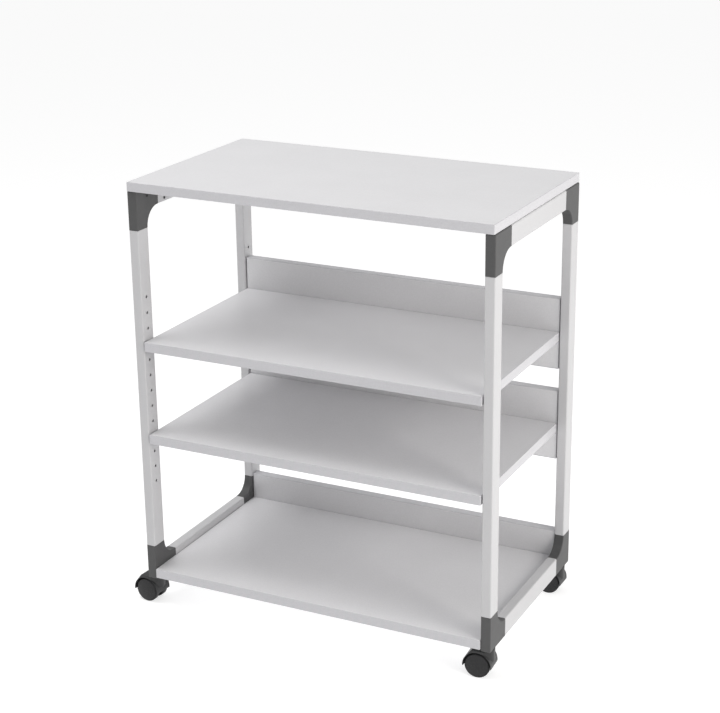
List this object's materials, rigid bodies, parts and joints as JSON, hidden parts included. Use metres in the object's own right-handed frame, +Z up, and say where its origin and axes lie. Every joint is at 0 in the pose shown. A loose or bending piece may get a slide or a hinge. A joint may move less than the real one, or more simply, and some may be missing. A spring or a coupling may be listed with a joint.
{
  "type": "mobile printer stand",
  "caption": "Wheeled printer stand: worktop over adjustable shelves with back panels and a bottom shelf, on a rectangular tube frame with corner brackets and twin-wheel swivel castors.",
  "frame": {"origin": "on the floor, at the middle of the whole footprint with the castors trailing to the left; the frame's own middle plane is at x = 0.020 m", "axes": "+Z up, -Y the front where the shelves are open, +X to the right along the width"},
  "size_m": [0.7901, 0.4284, 0.882],
  "materials": {
    "board": "light grey melamine-faced board with a fine satin surface and a matching edge band",
    "frame_tube": "light grey powder coat, satin",
    "corner_bracket": "dark grey moulded plastic with a fine texture",
    "castor_hood": "black nylon, satin",
    "castor_wheel": "black nylon, smooth and slightly glossy",
    "castor_steel": "zinc-plated steel",
    "shelf_pin": "nickel-plated steel",
    "side_screw": "black zinc-plated screw"
  },
  "bodies": {
    "frame": {"worktop": "board", "upper_shelf": "board", "lower_shelf": "board", "bottom_shelf": "board", "upper_back_panel": "board", "lower_back_panel": "board", "bottom_back_panel": "board", "front_left_leg": "frame_tube", "front_right_leg": "frame_tube", "rear_left_leg": "frame_tube", "rear_right_leg": "frame_tube", "left_upper_rail": "frame_tube", "left_lower_rail": "frame_tube", "right_upper_rail": "frame_tube", "right_lower_rail": "frame_tube", "front_left_upper_bracket": "corner_bracket", "front_left_lower_bracket": "corner_bracket", "front_right_upper_bracket": "corner_bracket", "front_right_lower_bracket": "corner_bracket", "rear_left_upper_bracket": "corner_bracket", "rear_left_lower_bracket": "corner_bracket", "rear_right_upper_bracket": "corner_bracket", "rear_right_lower_bracket": "corner_bracket", "upper_front_left_pin": "shelf_pin", "upper_front_right_pin": "shelf_pin", "upper_rear_left_pin": "shelf_pin", "upper_rear_right_pin": "shelf_pin", "lower_front_left_pin": "shelf_pin", "lower_front_right_pin": "shelf_pin", "lower_rear_left_pin": "shelf_pin", "lower_rear_right_pin": "shelf_pin", "front_left_bracket_screw": "side_screw", "front_left_rail_screw": "side_screw", "front_right_bracket_screw": "side_screw", "front_right_rail_screw": "side_screw", "rear_left_bracket_screw": "side_screw", "rear_left_rail_screw": "side_screw", "rear_right_bracket_screw": "side_screw", "rear_right_rail_screw": "side_screw", "front_left_castor_stem": "castor_steel", "front_right_castor_stem": "castor_steel", "rear_left_castor_stem": "castor_steel", "rear_right_castor_stem": "castor_steel"},
    "front_left_castor": {"front_left_castor_hood": "castor_hood", "front_left_castor_axle": "castor_steel"},
    "front_left_wheel_a": {"front_left_castor_wheel_a": "castor_wheel"},
    "front_left_wheel_b": {"front_left_castor_wheel_b": "castor_wheel"},
    "front_right_castor": {"front_right_castor_hood": "castor_hood", "front_right_castor_axle": "castor_steel"},
    "front_right_wheel_a": {"front_right_castor_wheel_a": "castor_wheel"},
    "front_right_wheel_b": {"front_right_castor_wheel_b": "castor_wheel"},
    "rear_left_castor": {"rear_left_castor_hood": "castor_hood", "rear_left_castor_axle": "castor_steel"},
    "rear_left_wheel_a": {"rear_left_castor_wheel_a": "castor_wheel"},
    "rear_left_wheel_b": {"rear_left_castor_wheel_b": "castor_wheel"},
    "rear_right_castor": {"rear_right_castor_hood": "castor_hood", "rear_right_castor_axle": "castor_steel"},
    "rear_right_wheel_a": {"rear_right_castor_wheel_a": "castor_wheel"},
    "rear_right_wheel_b": {"rear_right_castor_wheel_b": "castor_wheel"}
  },
  "joints": [
    {"name": "front_left_swivel", "type": "hinge", "parent": "frame", "child": "front_left_castor", "pos_m": [-0.34494, -0.1874, 0.0572], "axis": [0, 0, 1], "continuous": true},
    {"name": "front_left_wheel_a_spin", "type": "hinge", "parent": "front_left_castor", "child": "front_left_wheel_a", "pos_m": [-0.36486, -0.18566, 0.025], "axis": [0.0872, 0.9962, 0], "continuous": true},
    {"name": "front_left_wheel_b_spin", "type": "hinge", "parent": "front_left_castor", "child": "front_left_wheel_b", "pos_m": [-0.36486, -0.18566, 0.025], "axis": [0.0872, 0.9962, 0], "continuous": true},
    {"name": "front_right_swivel", "type": "hinge", "parent": "frame", "child": "front_right_castor", "pos_m": [0.38506, -0.1874, 0.0572], "axis": [0, 0, 1], "continuous": true},
    {"name": "front_right_wheel_a_spin", "type": "hinge", "parent": "front_right_castor", "child": "front_right_wheel_a", "pos_m": [0.36511, -0.18879, 0.025], "axis": [-0.0698, 0.9976, 0], "continuous": true},
    {"name": "front_right_wheel_b_spin", "type": "hinge", "parent": "front_right_castor", "child": "front_right_wheel_b", "pos_m": [0.36511, -0.18879, 0.025], "axis": [-0.0698, 0.9976, 0], "continuous": true},
    {"name": "rear_left_swivel", "type": "hinge", "parent": "frame", "child": "rear_left_castor", "pos_m": [-0.34494, 0.1874, 0.0572], "axis": [0, 0, 1], "continuous": true},
    {"name": "rear_left_wheel_a_spin", "type": "hinge", "parent": "rear_left_castor", "child": "rear_left_wheel_a", "pos_m": [-0.36494, 0.1874, 0.025], "axis": [0, 1, 0], "continuous": true},
    {"name": "rear_left_wheel_b_spin", "type": "hinge", "parent": "rear_left_castor", "child": "rear_left_wheel_b", "pos_m": [-0.36494, 0.1874, 0.025], "axis": [0, 1, 0], "continuous": true},
    {"name": "rear_right_swivel", "type": "hinge", "parent": "frame", "child": "rear_right_castor", "pos_m": [0.38506, 0.1874, 0.0572], "axis": [0, 0, 1], "continuous": true},
    {"name": "rear_right_wheel_a_spin", "type": "hinge", "parent": "rear_right_castor", "child": "rear_right_wheel_a", "pos_m": [0.36506, 0.1874, 0.025], "axis": [0, 1, 0], "continuous": true},
    {"name": "rear_right_wheel_b_spin", "type": "hinge", "parent": "rear_right_castor", "child": "rear_right_wheel_b", "pos_m": [0.36506, 0.1874, 0.025], "axis": [0, 1, 0], "continuous": true}
  ]
}
